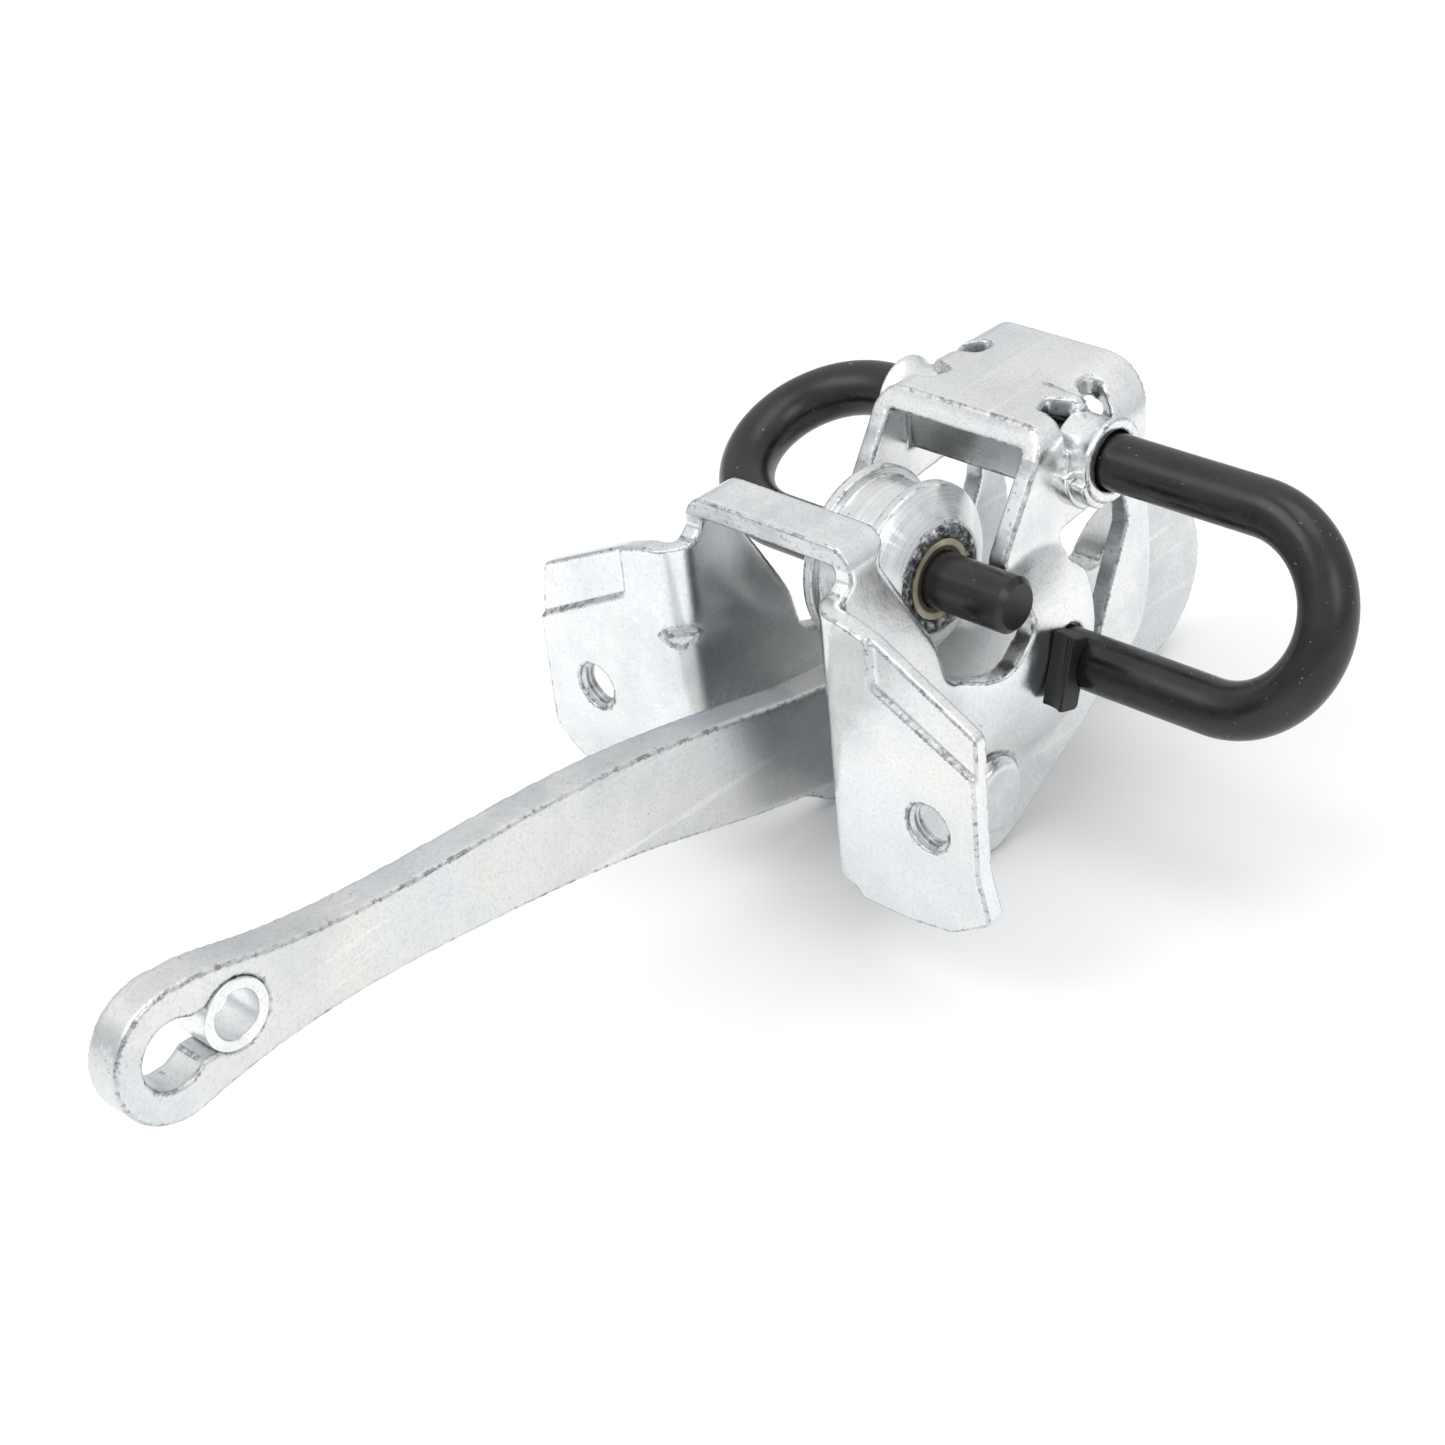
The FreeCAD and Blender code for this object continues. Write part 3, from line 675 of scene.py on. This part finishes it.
class DOORCHECK_OT_roller(bpy.types.Operator):
    """Finishes the roller, its bush and the staked ring that holds the bush"""

    bl_idname = "doorcheck.roller"
    bl_label = "Roller"

    def execute(self, context):
        sizes = context.scene.door_check_sizes
        steel = turned_steel("turned_zinc", ROLLER_AXIS, 0.55 * MM)
        # Rounded rims: more dark specks as wear, and the tint darkened to 0.85 as painted shade along the edges.
        wear_and_shade = zinc_plate("wear_and_shade_roller_rim", (0.3, 0.5), edge=0.14, shade=0.85)
        refined_copy("roller", "roller_finish", (steel, wear_and_shade), "roller",
                     0.35 * MM, 3, 30)
        metal = bearing_metal("bearing_metal", ROLLER_AXIS, BUSH_BORE_R, BUSH_R)
        dress(frame["nodes"]["roller_bush"], metal)
        punched = punched_metal("punched_ring")
        inner, outer = BUSH_R + 0.02 * MM, BUSH_R + sizes.stake_width
        for side, label in ((-1, "left"), (1, "right")):
            face_x = side * ROLLER_HIGH.x
            profile = [(face_x - side * 0.4 * MM, inner), (face_x + side * 0.05 * MM, inner)]
            for i in range(1, 7):
                t = i / 7
                swell = (0.05 + 0.35 * math.sin(math.pi * t)) * MM
                profile.append((face_x + side * swell, inner + (outer - inner) * t))
            profile.append((face_x + side * 0.02 * MM, outer))
            profile.append((face_x - side * 0.4 * MM, outer))
            bm = ring_from(profile, ROLLER_AXIS, 160)
            for vert in bm.verts:
                if side * (vert.co.x - face_x) > 0.06 * MM:
                    vert.co.x += side * 0.28 * MM * noise.noise(vert.co * 1500.0)
            add_piece("staked_ring_" + label, bm, (punched,), "roller",
                      math.radians(70))
        return {"FINISHED"}


class DOORCHECK_OT_spring(bpy.types.Operator):
    """Gives the bent-wire spring and its block their black coats"""

    bl_idname = "doorcheck.spring"
    bl_label = "Wire spring"

    def execute(self, context):
        coat = spring_coat("spring_black", 0.27)
        for node in ("torsion_spring", "spring_lever"):
            dress(frame["nodes"][node], coat)
        block = spring_coat("block_black", 0.5, 0.8)
        refined_copy("anchor_block", "anchor_block_finish", (block,), "mount",
                     0.25 * MM, 2, 30)
        return {"FINISHED"}


class DOORCHECK_OT_rivet(bpy.types.Operator):
    """Finishes the lower rivet and the guide sleeve on it"""

    bl_idname = "doorcheck.rivet"
    bl_label = "Rivet and sleeve"

    def execute(self, context):
        refined_copy("lower_rivet", "lower_rivet_finish", (zinc_plate("zinc_rivet", (0.26, 0.4)),),
                     "mount", 0.6 * MM, 4, 30)
        dress(frame["nodes"]["guide_sleeve"], zinc_plate("zinc_sleeve", (0.25, 0.4), shade=0.9))
        return {"FINISHED"}


class DOORCHECK_OT_stage(bpy.types.Operator):
    """Sets the pale floor, the soft lights, the surroundings and the camera"""

    bl_idname = "doorcheck.stage"
    bl_label = "Stage"

    def execute(self, context):
        self.floor()
        self.surroundings(context.scene)
        middle = Vector((0.0, 0.0, 0.0))
        self.softbox("key_softbox", (-0.25, -0.55, 0.75), middle, 0.5, 1.7)
        self.softbox("right_softbox", (0.75, -0.15, 0.55), middle, 0.4, 1.0)
        self.softbox("top_softbox", (0.1, 0.1, 0.9), middle, 0.5, 1.2)
        self.camera(context.scene)
        context.scene.view_settings.view_transform = "Standard"
        return {"FINISHED"}

    def floor(self):
        """A wide plane just below the lowest piece."""
        bm = bmesh.new()
        bmesh.ops.create_grid(bm, x_segments=1, y_segments=1, size=8.0)
        bmesh.ops.translate(bm, vec=(0, 0, CAD_LOW.z - 0.3 * MM), verts=bm.verts)
        obj = add_object("studio_floor", bm)
        dress(obj, plain_floor("floor_matt"))

    def surroundings(self, scene):
        """An even pale surround that darkens gently towards the horizon."""
        world = bpy.data.worlds.new("studio_surround")
        scene.world = world
        world.use_nodes = True
        nodes, links = world.node_tree.nodes, world.node_tree.links
        coords = nodes.new("ShaderNodeTexCoord")
        split = nodes.new("ShaderNodeSeparateXYZ")
        links.new(coords.outputs["Generated"], split.inputs["Vector"])
        horizon, middle, overhead = (0.55, 0.58, 0.62), (0.86, 0.87, 0.88), (1.0, 1.0, 1.0)
        colour = ramp(nodes, links, split.outputs["Z"],
                      [(0.0, horizon), (0.45, middle), (0.9, overhead)])
        links.new(colour, nodes["Background"].inputs["Color"])
        nodes["Background"].inputs["Strength"].default_value = 0.98

    def softbox(self, name, place, target, size, power):
        """A square area light aimed at a point."""
        light = bpy.data.lights.new(name, "AREA")
        light.size = size
        light.energy = power
        obj = bpy.data.objects.new(name, light)
        obj.location = place
        obj.rotation_euler = (target - Vector(place)).to_track_quat("-Z", "Y").to_euler()
        bpy.context.scene.collection.objects.link(obj)

    def camera(self, scene):
        """A long lens from the upper right, slightly rolled."""
        sin_a, cos_a = math.sin(CAMERA_AZIMUTH), math.cos(CAMERA_AZIMUTH)
        sin_e, cos_e = math.sin(CAMERA_ELEVATION), math.cos(CAMERA_ELEVATION)
        sin_r, cos_r = math.sin(CAMERA_ROLL), math.cos(CAMERA_ROLL)
        back = Vector((sin_a * cos_e, -cos_a * cos_e, sin_e))
        level_right = Vector((cos_a, sin_a, 0))
        level_up = back.cross(level_right)
        right = level_right * cos_r + level_up * sin_r
        up = level_up * cos_r - level_right * sin_r
        place = back * CAMERA_DISTANCE - right * CAMERA_LEFT + up * CAMERA_UP
        data = bpy.data.cameras.new("studio_camera")
        data.sensor_width = CAMERA_SENSOR
        data.lens = CAMERA_LENS
        data.clip_start = 0.01
        obj = bpy.data.objects.new("studio_camera", data)
        turn = Matrix((right, up, back)).transposed().to_4x4()
        obj.matrix_world = Matrix.Translation(place) @ turn
        scene.collection.objects.link(obj)
        scene.camera = obj


OPERATORS = (
    DOORCHECK_OT_bracket,
    DOORCHECK_OT_flange_threads,
    DOORCHECK_OT_bracket_details,
    DOORCHECK_OT_arm,
    DOORCHECK_OT_roller,
    DOORCHECK_OT_spring,
    DOORCHECK_OT_rivet,
    DOORCHECK_OT_stage,
)


class DOORCHECK_PT_panel(bpy.types.Panel):
    """Lists the steps that finish the door check"""

    bl_idname = "DOORCHECK_PT_panel"
    bl_label = "Door Check"
    bl_space_type = "VIEW_3D"
    bl_region_type = "UI"
    bl_category = "Door Check"

    def draw(self, context):
        column = self.layout.column()
        for settings in (context.scene.door_check_sizes, context.scene.door_check_colours):
            for name in settings.__annotations__:
                column.prop(settings, name)
        for operator in OPERATORS:
            column.operator(operator.bl_idname)


CLASSES = (DoorCheckSizes, DoorCheckColours, *OPERATORS, DOORCHECK_PT_panel)


def register():
    for cls in CLASSES:
        bpy.utils.register_class(cls)
    bpy.types.Scene.door_check_sizes = bpy.props.PointerProperty(type=DoorCheckSizes)
    bpy.types.Scene.door_check_colours = bpy.props.PointerProperty(type=DoorCheckColours)


def unregister():
    del bpy.types.Scene.door_check_colours
    del bpy.types.Scene.door_check_sizes
    for cls in reversed(CLASSES):
        bpy.utils.unregister_class(cls)


def main():
    """Registers the add-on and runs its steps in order."""
    register()
    bpy.ops.doorcheck.bracket()
    bpy.ops.doorcheck.flange_threads()
    bpy.ops.doorcheck.bracket_details()
    bpy.ops.doorcheck.arm()
    bpy.ops.doorcheck.roller()
    bpy.ops.doorcheck.spring()
    bpy.ops.doorcheck.rivet()
    bpy.ops.doorcheck.stage()


if __name__ == "__main__":
    main()
